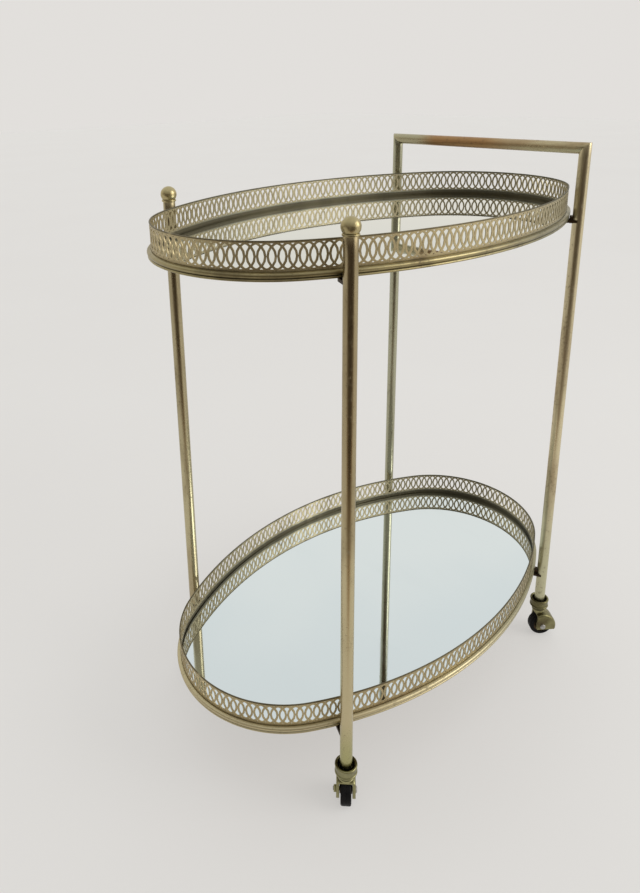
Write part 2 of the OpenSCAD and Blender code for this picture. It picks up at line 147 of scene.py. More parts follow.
# The spin operator turns clockwise about its axis, so this axis gives a turn to the left
LEFT = (0, 0, -1)


def activate(piece):
    bpy.ops.object.select_all(action="DESELECT")
    piece.select_set(True)
    bpy.context.view_layer.objects.active = piece


def settle(piece):
    """Puts the piece's place, turn and scale into its mesh."""
    activate(piece)
    bpy.ops.object.transform_apply(location=True, rotation=True, scale=True)


def modify(piece, kind, **settings):
    """Adds one modifier and applies it."""
    activate(piece)
    modifier = piece.modifiers.new(kind.lower(), kind)
    for key, value in settings.items():
        setattr(modifier, key, value)
    bpy.ops.object.modifier_apply(modifier=modifier.name)


def soften(piece, width, segments=2, angle=30):
    modify(
        piece, "BEVEL", width=width, segments=segments, limit_method="ANGLE",
        angle_limit=math.radians(angle), use_clamp_overlap=True,
    )


def close_up(piece):
    """Merges doubles and turns the faces outwards."""
    activate(piece)
    bpy.ops.object.mode_set(mode="EDIT")
    bpy.ops.mesh.select_all(action="SELECT")
    bpy.ops.mesh.remove_doubles(threshold=MERGE_GAP)
    bpy.ops.mesh.normals_make_consistent(inside=False)
    bpy.ops.object.mode_set(mode="OBJECT")


def select_edges(piece, wanted):
    """In edit mode, selects only the edges for which wanted is true."""
    bpy.ops.mesh.select_mode(type="EDGE")
    bpy.ops.mesh.select_all(action="DESELECT")
    mesh = bmesh.from_edit_mesh(piece.data)
    for edge in mesh.edges:
        if wanted(edge):
            edge.select = True
    mesh.select_flush_mode()
    bmesh.update_edit_mesh(piece.data)


def join(pieces):
    """Makes one piece of several, under the name of the first."""
    bpy.ops.object.select_all(action="DESELECT")
    for piece in pieces:
        piece.select_set(True)
    bpy.context.view_layer.objects.active = pieces[0]
    bpy.ops.object.join()
    return pieces[0]


def copy_of(piece, name, place):
    """A copy with its own mesh, moved by the matrix place."""
    twin = piece.copy()
    twin.data = piece.data.copy()
    twin.name = name
    bpy.context.scene.collection.objects.link(twin)
    twin.data.transform(place)
    return twin


def discard(piece):
    bpy.data.objects.remove(piece)


def draw(name, points, closed=False):
    """A chain of edges, drawn by extruding one vertex from point to point. Stays in edit mode."""
    points = [Vector(point) for point in points]
    if closed:
        points.append(points[0])
    bpy.ops.object.select_all(action="DESELECT")
    bpy.ops.mesh.primitive_plane_add(size=0.001, location=points[0])
    piece = bpy.context.object
    piece.name = name
    bpy.ops.object.mode_set(mode="EDIT")
    bpy.ops.mesh.select_mode(type="VERT")
    bpy.ops.mesh.merge(type="CENTER")
    for here, there in zip(points, points[1:]):
        bpy.ops.mesh.extrude_vertices_move(TRANSFORM_OT_translate={"value": there - here})
    bpy.ops.mesh.select_all(action="SELECT")
    return piece


def arc(centre_x, centre_y, radius, start, end, steps):
    """Points of an arc in a profile, with the angles in degrees."""
    turns = [math.radians(start + (end - start)*i/steps) for i in range(steps + 1)]
    return [(centre_x + radius*math.cos(t), centre_y + radius*math.sin(t)) for t in turns]


def turned(name, outline, closed=True, steps=SPIN_STEPS):
    """A body turned about Z, from an outline of (radius, height) points."""
    piece = draw(name, [(radius, 0, height) for radius, height in outline], closed)
    bpy.ops.mesh.spin(steps=steps, angle=2*math.pi, center=(0, 0, 0), axis=(0, 0, 1))
    bpy.ops.object.mode_set(mode="OBJECT")
    settle(piece)
    close_up(piece)
    return piece


def round_oval(whole):
    """Sweeps what is selected at the +X end round the oval, arc by arc, or round its far half."""
    end_steps, side_steps, side_angle = 24, 42, math.pi - 2*JOIN
    handle_end = ((END_CENTRE, 0, 0), JOIN, end_steps)
    far_side = ((0, -SIDE_CENTRE, 0), side_angle, side_steps)
    finial_end = ((-END_CENTRE, 0, 0), JOIN, end_steps)
    near_side = ((0, SIDE_CENTRE, 0), side_angle, side_steps)
    legs = [handle_end, far_side, finial_end]
    if whole:
        legs += [finial_end, near_side, handle_end]
    for centre, angle, steps in legs:
        bpy.ops.mesh.spin(steps=steps, angle=angle, center=centre, axis=LEFT)


def swept(name, outline, whole=True):
    """A moulding swept round the oval, from (outward, height) points off the gallery's outer face."""
    outside = END_CENTRE + END_RADIUS
    piece = draw(name, [(outside + out, 0, height) for out, height in outline], closed=True)
    round_oval(whole)
    if not whole:
        bpy.ops.mesh.select_all(action="SELECT")
        bpy.ops.mesh.remove_doubles(threshold=MERGE_GAP)
        bpy.ops.mesh.fill_holes(sides=0)
    bpy.ops.object.mode_set(mode="OBJECT")
    settle(piece)
    close_up(piece)
    return piece


def on_oval(length, out):
    """Place on the far half of the oval at a length from the +X end, and outwards of the face."""
    if length < END_ARC:
        centre, radius, angle = (END_CENTRE, 0), END_RADIUS, length/END_RADIUS
    elif length < END_ARC + SIDE_ARC:
        centre, radius, angle = (0, -SIDE_CENTRE), SIDE_RADIUS, JOIN + (length - END_ARC)/SIDE_RADIUS
    else:
        centre, radius = (-END_CENTRE, 0), END_RADIUS
        angle = math.pi - JOIN + (length - END_ARC - SIDE_ARC)/END_RADIUS
    return centre[0] + (radius + out)*math.cos(angle), centre[1] + (radius + out)*math.sin(angle)


def outward(x, y):
    """How far a place lies outside the gallery's outer face."""
    x, y = abs(x), abs(y)
    if math.atan2(y, x - END_CENTRE) < JOIN:
        return math.hypot(x - END_CENTRE, y) - END_RADIUS
    return math.hypot(x, y + SIDE_CENTRE) - SIDE_RADIUS


def post_places():
    """Name and place of each post's own frame, with +x outwards from the tray."""
    places = {}
    for end, angle in (("finial", math.pi - POST_ANGLE), ("handle", POST_ANGLE)):
        for side, sign in (("near", -1), ("far", 1)):
            low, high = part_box(f"{end}_post_{side}")
            foot = Matrix.Translation(((low + high).x/2, (low + high).y/2, 0))
            places[f"{end}_{side}"] = foot @ Matrix.Rotation(sign*angle, 4, "Z")
    return places


POSTS = post_places()


def caster_places():
    """Place of each caster's own frame, with +x trailing, from its joints."""
    joints = {joint["name"]: joint for joint in frame["joints"]}
    places = {}
    for number in CASTER_NUMBERS:
        x, y, _ = joints[f"caster_swivel_{number}"]["pos_m"]
        axle_x, axle_y, _ = joints[f"wheel_spin_{number}"]["axis"]
        trailing = math.atan2(-axle_x, axle_y)
        places[number] = Matrix.Translation((x, y, 0)) @ Matrix.Rotation(trailing, 4, "Z")
    return places


CASTERS = caster_places()


class Field:
    """A value that varies over a surface: a socket, with the arithmetic that the finishes use."""

    def __init__(self, finish, socket):
        self.finish = finish
        self.socket = socket

    def _math(self, operation, first, second):
        return self.finish.add("Math", {"operation": operation}, {0: first, 1: second})

    def __add__(self, other):
        return self._math("ADD", self, other)

    __radd__ = __add__

    def __mul__(self, other):
        return self._math("MULTIPLY", self, other)

    __rmul__ = __mul__

    def __sub__(self, other):
        return self._math("SUBTRACT", self, other)

    def __rsub__(self, other):
        return self._math("SUBTRACT", other, self)

    def __neg__(self):
        return self._math("SUBTRACT", 0, self)

    def __abs__(self):
        return self._math("ABSOLUTE", self, 0)


class Finish:
    """A material, or the world, built from nodes."""

    def __init__(self, owner, **constants):
        owner.use_nodes = True
        self.owner = owner
        self.tree = owner.node_tree
        kinds = {"ShaderNodeBsdfPrincipled", "ShaderNodeBackground"}
        self.shader = next(node for node in self.tree.nodes if node.bl_idname in kinds)
        for socket, value in constants.items():
            self.shader.inputs[socket.replace("_", " ")].default_value = value

    def add(self, kind, settings=None, values=None, output=0):
        """Adds one node: its settings first, then its sockets' values or links."""
        node = self.tree.nodes.new("ShaderNode" + kind)
        for key, value in (settings or {}).items():
            setattr(node, key, value)
        for key, value in (values or {}).items():
            self.link(node.inputs[key], value)
        return Field(self, node.outputs[output])

    def link(self, socket, value):
        if isinstance(value, Field):
            self.tree.links.new(value.socket, socket)
        else:
            socket.default_value = value

    def feed(self, **fields):
        for socket, field in fields.items():
            self.link(self.shader.inputs[socket.replace("_", " ")], field)

    def place(self, stretch=(1, 1, 1)):
        """Object coordinates, stretched along an axis where its number is below 1."""
        spot = self.add("TexCoord", output="Object")
        return self.add("Mapping", {"vector_type": "POINT"}, {"Vector": spot, "Scale": stretch})

    def noise(self, scale, detail=3.0, roughness=0.55, stretch=(1, 1, 1)):
        values = {"Scale": scale, "Detail": detail, "Roughness": roughness}
        values["Vector"] = self.place(stretch)
        return self.add("TexNoise", None, values, "Fac")

    def step(self, field, low, high):
        """A soft step from 0 at low to 1 at high."""
        values = {"Value": field, "From Min": low, "From Max": high}
        return self.add("MapRange", {"interpolation_type": "SMOOTHSTEP"}, values, "Result")

    def mix(self, share, first, second):
        """A colour between two, or between two fields of colour."""
        node = self.tree.nodes.new("ShaderNodeMix")
        node.data_type = "RGBA"
        self.link(node.inputs["Factor"], share)
        for socket, value in ((node.inputs[6], first), (node.inputs[7], second)):
            self.link(socket, value if isinstance(value, Field) else (*value, 1.0))
        return Field(self, node.outputs[2])

    def edge(self):
        return self.add("Attribute", {"attribute_name": EDGE}, output="Fac")

    def along(self, way):
        """How far a place lies along a direction."""
        return self.add("VectorMath", {"operation": "DOT_PRODUCT"}, {0: self.place(), 1: way}, "Value")

    def bump(self, height, strength, distance):
        values = {"Height": height, "Strength": strength, "Distance": distance}
        return self.add("Bump", None, values, "Normal")


def new_finish(name, **constants):
    return Finish(bpy.data.materials.new(name), **constants)


def aged_brass(
    name, fresh, tarnish, brown, gloss=0.26, cover=0.5, stretch=(1, 1, 1), filmed=0.0, tints=(),
):
    """Brass gone dull with age: bright where it is rubbed, brown in patches, and darkened in its hollows
    by painted shade.

    fresh, tarnish and brown are its colours. gloss is how rough its cleanest metal is, cover how much
    of it is tarnished, and filmed how much lies under a dull film. Where a number of stretch is below
    1, the patches are drawn out along that axis. Each tint is a direction, the two distances along it
    between which the tint sets in, its share, and its colour.
    """
    f = new_finish(name, Metallic=1.0, Specular_IOR_Level=0.5)
    clouds = f.noise(7.0, 4.0, 0.6, stretch)
    stains = f.noise(34.0, 5.0, 0.62, stretch)
    specks = f.noise(260.0, 2.0, 0.5)
    grain = f.noise(900.0, 2.0, 0.5, stretch)
    edge = f.edge()
    least = 0.62 - 0.3*cover
    tarnished = f.step(clouds*0.55 + stains*0.45, least, least + 0.2)
    browned = f.step(f.noise(11.0, 3.0, 0.5, stretch)*0.7 + stains*0.3, 0.52, 0.66)
    spots = f.step(specks*0.6 + stains*0.4, 0.56, 0.68)
    rubbed = f.step(edge, 0.56, 0.76)
    shaded_hollow = 1 - f.step(edge, 0.3, 0.47)
    colour = f.mix(tarnished, fresh, tarnish)
    colour = f.mix(browned*0.55, colour, brown)
    for way, low, high, share, tint in tints:
        colour = f.mix(f.step(f.along(way), low, high)*share, colour, tint)
    colour = f.mix(spots*0.35, colour, [0.35*part for part in brown])
    # Painted shade: hollows and the vertices marked as shaded are darkened towards a deep tarnish.
    colour = f.mix(shaded_hollow*0.8, colour, [0.3*part for part in tarnish])
    colour = f.mix(rubbed*0.55, colour, [min(1.0, 1.25*part) for part in fresh])
    f.feed(
        Base_Color=colour,
        Roughness=gloss + tarnished*0.14 + spots*0.16 + grain*0.08 - rubbed*0.06,
        Metallic=1 - filmed - spots*0.35 - browned*0.12,
        Normal=f.bump(specks*0.4 + grain*0.3 + stains*0.3, 0.18, 0.0006),
    )
    return f.owner


def silvered_glass():
    """Old mirror: clear, faintly green, wiped in arcs, a little foxed round its rim, and tinted blue-grey
    towards the finial end as a painted reflection of a cool wall.
    """
    f = new_finish("silvered_glass", Metallic=1.0, Coat_Roughness=0.02, Coat_IOR=1.5)
    place = f.place((2/TRAY_LENGTH, 2/TRAY_WIDTH, 0))
    rim = f.add("VectorMath", {"operation": "LENGTH"}, {0: place}, "Value")
    blots = f.noise(42.0, 5.0, 0.65)
    smears = f.noise(9.0, 4.0, 0.6, (1, 0.35, 1))
    wall_reflection_tint = f.step(f.noise(3.0, 2.0) - f.along(AWAY_FROM_FINIAL), 0.3, 0.7)
    dust = f.noise(700.0, 2.0)
    foxed = f.step(rim*0.8 + blots*0.36, 0.985, 1.06)
    smeared = f.step(smears, 0.5, 0.72)
    side = f.step(f.edge(), 0.55, 0.8)
    colour = f.mix(smeared, (0.83, 0.84, 0.82), (0.80, 0.815, 0.79))
    # Painted reflection: a cool wall's blue-grey, laid on towards the finial end and broken up by noise.
    colour = f.mix(wall_reflection_tint*0.8, colour, (0.74, 0.775, 0.78))
    colour = f.mix(foxed*0.5, colour, (0.33, 0.31, 0.25))
    colour = f.mix(side*0.7, colour, (0.28, 0.40, 0.36))
    f.feed(
        Base_Color=colour,
        Roughness=0.02 + smeared*0.035 + foxed*0.25,
        Coat_Weight=1 - foxed*0.3,
        Normal=f.bump(dust, 0.015, 0.0002),
    )
    return f.owner


def hardboard():
    """The shelf's backing: brown pressed board with a fine fibre."""
    f = new_finish("hardboard", Roughness=0.85)
    fibre = f.noise(520.0, 4.0, 0.7, (0.25, 1, 1))
    cloud = f.noise(16.0, 4.0)
    f.feed(
        Base_Color=f.mix(fibre, (0.085, 0.055, 0.032), (0.19, 0.13, 0.08)),
        Roughness=0.7 + cloud*0.25,
        Normal=f.bump(fibre, 0.35, 0.0004),
    )
    return f.owner


def dull_steel():
    """Plain steel of screws, stems and sockets, with a breath of rust."""
    f = new_finish("dull_steel", Metallic=1.0)
    wear = f.noise(90.0, 5.0, 0.6)
    fine = f.noise(1200.0, 2.0)
    rust = f.step(wear, 0.56, 0.72)
    f.feed(
        Base_Color=f.mix(rust*0.7, (0.42, 0.41, 0.39), (0.17, 0.095, 0.05)),
        Metallic=1 - rust*0.6,
        Roughness=0.32 + rust*0.35 + fine*0.1,
        Normal=f.bump(wear*0.6 + fine*0.4, 0.2, 0.0003),
    )
    return f.owner


def wheel_rubber():
    """Black rubber, grey with dust where it meets the floor."""
    f = new_finish("wheel_rubber", Specular_IOR_Level=0.15)
    dust = f.noise(180.0, 5.0, 0.7)
    scuffs = f.noise(60.0, 4.0)
    fine = f.noise(1500.0, 2.0)
    dusty = f.step(dust*0.6 + scuffs*0.4, 0.44, 0.68)
    f.feed(
        Base_Color=f.mix(dusty*0.2, (0.004, 0.0035, 0.0035), (0.045, 0.04, 0.035)),
        Roughness=0.5 + dusty*0.3,
        Normal=f.bump(fine*0.5 + scuffs*0.5, 0.25, 0.0004),
    )
    return f.owner


# Patches drawn out along a standing tube and along the handle bar
UPRIGHT, CROSSWISE = (1, 1, 0.25), (1, 0.25, 1)
UP, DOWN, FAR, AWAY_FROM_FINIAL = (0, 0, 1), (0, 0, -1), (0, 1, 0), (1, 0.8, 0)
POST_BRASS = {
    "finial_near": aged_brass(
        "near_finial_brass", (0.56, 0.48, 0.29), (0.38, 0.315, 0.18), (0.30, 0.17, 0.085),
        gloss=0.21, stretch=UPRIGHT, tints=[
            (UP, 0.36, 0.52, 0.4, (0.17, 0.11, 0.05)),
            (DOWN, -0.15, -0.08, 0.85, (0.42, 0.405, 0.185)),
        ],
    ),
    "finial_far": aged_brass(
        "far_finial_brass", (0.53, 0.47, 0.29), (0.34, 0.29, 0.165), (0.30, 0.18, 0.09),
        gloss=0.22, stretch=UPRIGHT, tints=[
            (UP, 0.3, 0.5, 0.25, (0.15, 0.085, 0.04)),
            (DOWN, -0.15, -0.08, 0.6, (0.50, 0.48, 0.24)),
        ],
    ),
    "handle_near": aged_brass(
        "near_handle_brass", (0.66, 0.575, 0.37), (0.44, 0.375, 0.23), (0.40, 0.27, 0.15),
        gloss=0.24, cover=0.45, stretch=UPRIGHT, tints=[
            (DOWN, -0.3, -0.12, 0.85, (0.56, 0.55, 0.36)),
        ],
    ),
    "handle_far": aged_brass(
        "far_handle_brass", (0.42, 0.41, 0.29), (0.26, 0.25, 0.17), (0.20, 0.17, 0.10),
        gloss=0.24, stretch=UPRIGHT,
    ),
}
HANDLE_BRASS = aged_brass(
    "handle_brass", (0.54, 0.48, 0.29), (0.36, 0.30, 0.165), (0.32, 0.17, 0.075),
    gloss=0.22, stretch=CROSSWISE, tints=[
        (FAR, -0.06, 0.0, 0.95, (0.36, 0.20, 0.08)),
        (FAR, 0.08, 0.125, 0.85, (0.40, 0.38, 0.24)),
    ],
)
RAIL_BRASS = aged_brass(
    "rail_brass", (0.34, 0.285, 0.145), (0.19, 0.155, 0.08), (0.15, 0.09, 0.045),
    gloss=0.30, cover=0.6, filmed=0.06, tints=[
        (DOWN, -0.4, -0.15, 0.9, (0.56, 0.48, 0.29)),
        (AWAY_FROM_FINIAL, -0.3, 0.0, 0.7, (0.27, 0.265, 0.19)),
    ],
)
RING_BRASS = aged_brass(
    "ring_brass", (0.43, 0.355, 0.20), (0.27, 0.22, 0.12), (0.22, 0.135, 0.06),
    gloss=0.44, filmed=0.15, tints=[
        (AWAY_FROM_FINIAL, -0.3, 0.05, 0.9, (0.29, 0.29, 0.225)),
    ],
)
BALL_BRASS = aged_brass(
    "ball_brass", (0.46, 0.385, 0.20), (0.27, 0.22, 0.11), (0.20, 0.12, 0.06),
    gloss=0.27, cover=0.4, filmed=0.08,
)
CASTER_BRASS = aged_brass(
    "caster_brass", (0.30, 0.28, 0.14), (0.13, 0.115, 0.052), (0.08, 0.05, 0.025),
    gloss=0.28, cover=0.6,
)
# Painted shade: brass darkened to near-black, for the lugs under the rails and for the wheel hubs inside
# the hoods.
SHADE_DARK_BRASS = aged_brass(
    "shade_dark_brass", (0.07, 0.045, 0.025), (0.035, 0.022, 0.012), (0.025, 0.014, 0.009),
    gloss=0.40, cover=0.7,
)
MIRROR = silvered_glass()
BOARD = hardboard()
STEEL = dull_steel()
RUBBER = wheel_rubber()


def mark_edges(piece):
    """Stores at each vertex how far it stands out: 0 in a hollow, 0.5 on a flat, 1 on a sharp edge."""
    mesh = piece.data
    count = len(mesh.vertices)
    spots, normals = np.empty(3*count), np.empty(3*count)
    ends = np.empty(2*len(mesh.edges), dtype=int)
    mesh.vertices.foreach_get("co", spots)
    mesh.vertices.foreach_get("normal", normals)
    mesh.edges.foreach_get("vertices", ends)
    spots, normals = spots.reshape(-1, 3), normals.reshape(-1, 3)
    first, second = ends.reshape(-1, 2).T
    along = spots[second] - spots[first]
    along /= np.maximum(np.linalg.norm(along, axis=1, keepdims=True), 1e-9)
    total, number = np.zeros(count), np.zeros(count)
    np.add.at(total, first, -(along*normals[first]).sum(1))
    np.add.at(total, second, (along*normals[second]).sum(1))
    np.add.at(number, first, 1)
    np.add.at(number, second, 1)
    attribute = mesh.attributes.new(EDGE, "FLOAT", "POINT")
    attribute.data.foreach_set("value", np.clip(0.5 + total/np.maximum(number, 1), 0, 1))


def paint_shade(piece, shade_share):
    """Paints shade: marks vertices as hollow, so that their finish darkens them, by the share from 0 to 1
    that the given function gives for their places.
    """
    for mark, vertex in zip(piece.data.attributes[EDGE].data, piece.data.vertices):
        mark.value *= 1 - min(1.0, max(0.0, shade_share(*vertex.co)))


def dress(piece, body, finish, slot, *nodes):
    """The last step of each piece: shading, finish, body, and the nodes that it stands for."""
    activate(piece)
    bpy.ops.object.shade_smooth_by_angle(angle=SMOOTH_ANGLE)
    mark_edges(piece)
    piece.data.materials.clear()
    piece.data.materials.append(finish)
    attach(piece, body)
    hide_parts(*nodes)


def rod(name, radius, length, place=(0, 0, 0), crosswise=False, sides=SPIN_STEPS, ends="NGON"):
    """A cylinder about its place, along Z, or along Y where it lies crosswise."""
    bpy.ops.object.select_all(action="DESELECT")
    bpy.ops.mesh.primitive_cylinder_add(
        vertices=sides, radius=radius, depth=length, end_fill_type=ends, location=place,
        rotation=(math.pi/2 if crosswise else 0, 0, 0),
    )
    piece = bpy.context.object
    piece.name = name
    settle(piece)
    return piece


def block(name, low, high):
    """A box between two corners."""
    low, high = Vector(low), Vector(high)
    bpy.ops.object.select_all(action="DESELECT")
    bpy.ops.mesh.primitive_cube_add(size=1, location=(low + high)/2, scale=high - low)
    piece = bpy.context.object
    piece.name = name
    settle(piece)
    return piece


def cut(piece, tool):
    """Takes the tool's shape out of the piece."""
    modify(piece, "BOOLEAN", operation="DIFFERENCE", object=tool, solver="EXACT")
    discard(tool)


def tube(name, low, high, axis, mitres):
    """A tube along axis, cut by each mitre plane, given as (point, outward normal)."""
    length = (high - low)[axis]
    piece = rod(name, TUBE_R, length, (low + high)/2, axis == 1, ends="NOTHING")
    bpy.ops.object.mode_set(mode="EDIT")
    ring_gap = 0.02
    select_edges(piece, lambda edge: abs((edge.verts[0].co - edge.verts[1].co)[axis]) > length/2)
    bpy.ops.mesh.subdivide(number_cuts=int(length/ring_gap))
    for point, normal in mitres:
        bpy.ops.mesh.select_all(action="SELECT")
        bpy.ops.mesh.bisect(plane_co=point, plane_no=normal, clear_outer=True)
    bpy.ops.object.mode_set(mode="OBJECT")
    modify(piece, "SOLIDIFY", thickness=TUBE_WALL, offset=-1.0)
    soften(piece, 0.0003)
    return piece


def make_posts():
    for end in ("finial", "handle"):
        for side, sign in (("near", -1), ("far", 1)):
            low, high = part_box(f"{end}_post_{side}")
            corner = Vector((0, (low + high).y/2, HANDLE_H))
            mitres = [(corner, (0, -sign, 1))] if end == "handle" else []
            piece = tube(f"{end}_tube_{side}", low, high, 2, mitres)
            dress(piece, FRAME_BODY, POST_BRASS[f"{end}_{side}"], "brass", f"{end}_post_{side}")


def make_handle_bar():
    low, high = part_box("handle_bar")
    reach = high.y - TUBE_R
    mitres = [((0, sign*reach, HANDLE_H), (0, sign, -1)) for sign in (-1, 1)]
    piece = tube("handle_tube", low, high, 1, mitres)
    dress(piece, FRAME_BODY, HANDLE_BRASS, "brass", "handle_bar")


def make_finials():
    """Ball, neck and flange in one turning, with the shank that sits in the tube."""
    flange_edge = 0.0007
    ball_z = FLANGE_H + math.sqrt(BALL_R**2 - (NECK_R - 0.0005)**2)
    shank_r = TUBE_R - TUBE_WALL - FIT
    outline = [(0, -SHANK_L), (shank_r, -SHANK_L), (shank_r, 0)]
    outline += arc(FLANGE_R - flange_edge, flange_edge, flange_edge, -90, 0, 4)
    outline += arc(FLANGE_R - flange_edge, FLANGE_H - flange_edge, flange_edge, 0, 90, 4)
    outline += [(NECK_R + 0.0001, FLANGE_H), (NECK_R - 0.0004, FLANGE_H + 0.0003)]
    outline += arc(0, ball_z, BALL_R, -38, 88, 24) + [(0, ball_z + BALL_R)]
    master = turned("ball_turning", outline, closed=False, steps=56)
    for side in ("near", "far"):
        low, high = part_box(f"ball_finial_{side}")
        middle = (low + high)/2
        place = Matrix.Translation((middle.x, middle.y, low.z + SHANK_L))
        piece = copy_of(master, f"ball_turning_{side}", place)
        dress(piece, FRAME_BODY, BALL_BRASS, "brass", f"ball_finial_{side}")
    discard(master)


def rail_outline():
    """Ledge, lip, quirk, bead and the groove that holds the gallery."""
    bead_x, bead_y = RAIL_PROUD - BEAD_R, RAIL_H - BEAD_R - 0.0002
    lip_x = RAIL_PROUD - 0.0008 - LIP_R
    outline = [(-LEDGE_W, 0), (-GALLERY_T, 0)]
    outline += arc(lip_x, LIP_R, LIP_R, -90, 50, 7)
    outline += [(lip_x, 0.00315)]
    outline += arc(bead_x, bead_y, BEAD_R, -65, 75, 14)
    outline += [(bead_x + 0.0002, RAIL_H - 0.0002), (bead_x - 0.0001, RAIL_H)]
    outline += [(0.0003, RAIL_H), (0, RAIL_H - 0.0003), (0, SEAT_H), (-GALLERY_T, SEAT_H)]
    outline += [(-GALLERY_T, LEDGE_T), (-LEDGE_W, LEDGE_T)]
    return outline


def make_rails():
    for tier, height in TIERS.items():
        piece = swept(f"moulded_rail_{tier}", [(out, height + up) for out, up in rail_outline()])
        dress(piece, FRAME_BODY, RAIL_BRASS, "brass", f"{tier}_rail")
        # Painted shade: the rail's inner ledge and the groove inside the gallery are darkened.
        paint_shade(piece, lambda x, y, z: outward(x, y) < -GALLERY_T/2)


def one_ring():
    """One ring of the gallery: a flat strip, standing in the XZ plane."""
    inner, face = RING_R - RING_STRIP, GALLERY_T/2
    corners = [(inner, -face, 0), (RING_R, -face, 0), (RING_R, face, 0), (inner, face, 0)]
    ring = draw("ring", corners, closed=True)
    bpy.ops.mesh.spin(steps=18, angle=2*math.pi, center=(0, 0, 0), axis=(0, 1, 0))
    bpy.ops.object.mode_set(mode="OBJECT")
    settle(ring)
    close_up(ring)
    return ring


def ring_band():
    """The interlaced rings of the far half of a gallery, a pitch apart, laid round the oval.

    Where rings cross, they would share their faces, so each lies a little deeper than the one before
    it, over a few depths.
    """
    band = one_ring()
    per_ring, depths, depth_gap = len(band.data.vertices), 4, 0.00003
    modify(
        band, "ARRAY", count=RING_COUNT//2, use_relative_offset=False,
        use_constant_offset=True, constant_offset_displace=(PITCH, 0, 0),
    )
    for vertex in band.data.vertices:
        along, out, up = vertex.co
        shaded_hollow = depth_gap*(vertex.index//per_ring % depths)
        x, y = on_oval(along + PITCH/2, out - math.copysign(shaded_hollow, out) - GALLERY_T/2)
        vertex.co = (x, y, up + RING_MID)
    return band


def make_galleries():
    """Each half: a foot in the rail's groove, the rings, and a rounded brim."""
    foot_top, chamfer = 0.0106, 0.0003
    foot = [(0, SEAT_H), (0, foot_top - chamfer), (-chamfer, foot_top), (chamfer - GALLERY_T, foot_top)]
    foot += [(-GALLERY_T, foot_top - chamfer), (-GALLERY_T, SEAT_H)]
    brim_r = BRIM_H/2
    brim_mid, brim_out = TIER_H - brim_r, BRIM_T/2 - brim_r
    brim = arc(brim_out - GALLERY_T/2, brim_mid, brim_r, -90, 90, 6)
    brim += arc(-brim_out - GALLERY_T/2, brim_mid, brim_r, 90, 270, 6)
    master = join([ring_band(), swept("foot", foot, False), swept("brim", brim, False)])
    close_up(master)
    # Painted shade: each gallery is darkened most at the bottom of its foot, fading out 13 mm above the
    # rail's underside, and partly along its brim.
    shade_top, brim_shade, brim_from = 0.013, 0.5, TIER_H - 1.1*BRIM_H
    for tier, height in TIERS.items():
        for side, sign in (("far", 1), ("near", -1)):
            place = Matrix.Translation((0, 0, height)) @ Matrix.Diagonal((1, sign, 1, 1))
            piece = copy_of(master, f"ring_gallery_{tier}_{side}", place)
            close_up(piece)
            dress(piece, FRAME_BODY, RING_BRASS, "gallery_brass", f"{tier}_gallery_{side}")
            paint_shade(piece, lambda x, y, z: max(
                (height + shade_top - z)/(shade_top - SEAT_H), brim_shade*(z > height + brim_from)
            ))
    discard(master)


def plate(name, base, thickness, edge):
    """A flat oval plate inside the gallery, with eased edges."""
    inner = END_CENTRE + END_RADIUS - SHELF_INSET
    piece = draw(name, [(inner, 0, base)])
    round_oval(True)
    bpy.ops.mesh.select_all(action="SELECT")
    bpy.ops.mesh.remove_doubles(threshold=MERGE_GAP)
    bpy.ops.mesh.edge_face_add()
    bpy.ops.mesh.extrude_region_move(TRANSFORM_OT_translate={"value": (0, 0, thickness)})
    bpy.ops.object.mode_set(mode="OBJECT")
    settle(piece)
    close_up(piece)
    soften(piece, edge, 1)
    return piece


def make_shelves():
    for tier, height in TIERS.items():
        board = plate(f"backing_panel_{tier}", height + LEDGE_T, BOARD_T, 0.0002)
        dress(board, FRAME_BODY, BOARD, "board", f"{tier}_backing")
        glass = plate(f"mirror_plate_{tier}", height + LEDGE_T + BOARD_T, GLASS_T, 0.0006)
        dress(glass, FRAME_BODY, MIRROR, "mirror", f"{tier}_mirror")


def lug_master():
    """A tongue with a round end under the rail, and an upright that the post is brazed to."""
    inner = -POST_OFF - LUG_IN
    tongue = block("lug_master", (inner, -LUG_W/2, -LUG_T), (0, LUG_W/2, 0))

    def is_inner_corner(edge):
        first, second = (vert.co for vert in edge.verts)
        return max(first.x, second.x) < inner/2 and first.y == second.y and first.z != second.z

    bpy.ops.object.mode_set(mode="EDIT")
    select_edges(tongue, is_inner_corner)
    bpy.ops.mesh.bevel(offset=0.98*LUG_W/2, segments=10, affect="EDGES")
    bpy.ops.object.mode_set(mode="OBJECT")
    back = RAIL_PROUD + FIT - POST_OFF
    upright = block("upright", (back, -UPRIGHT_W/2, -UPRIGHT_DROP), (0, UPRIGHT_W/2, UPRIGHT_RISE))
    modify(tongue, "BOOLEAN", operation="UNION", object=upright, solver="EXACT")
    discard(upright)
    braze_gap, screw_gap = 0.00003, 0.0001
    cut(tongue, rod("post_space", TUBE_R + braze_gap, CUTTER_L, sides=2*SPIN_STEPS))
    hole = (SCREW_OFF - POST_OFF, 0, LUG_T - CUTTER_L/2)
    cut(tongue, rod("screw_hole", SCREW_R + screw_gap, CUTTER_L, hole, sides=24))
    close_up(tongue)
    soften(tongue, 0.0005, 2, 40)
    return tongue


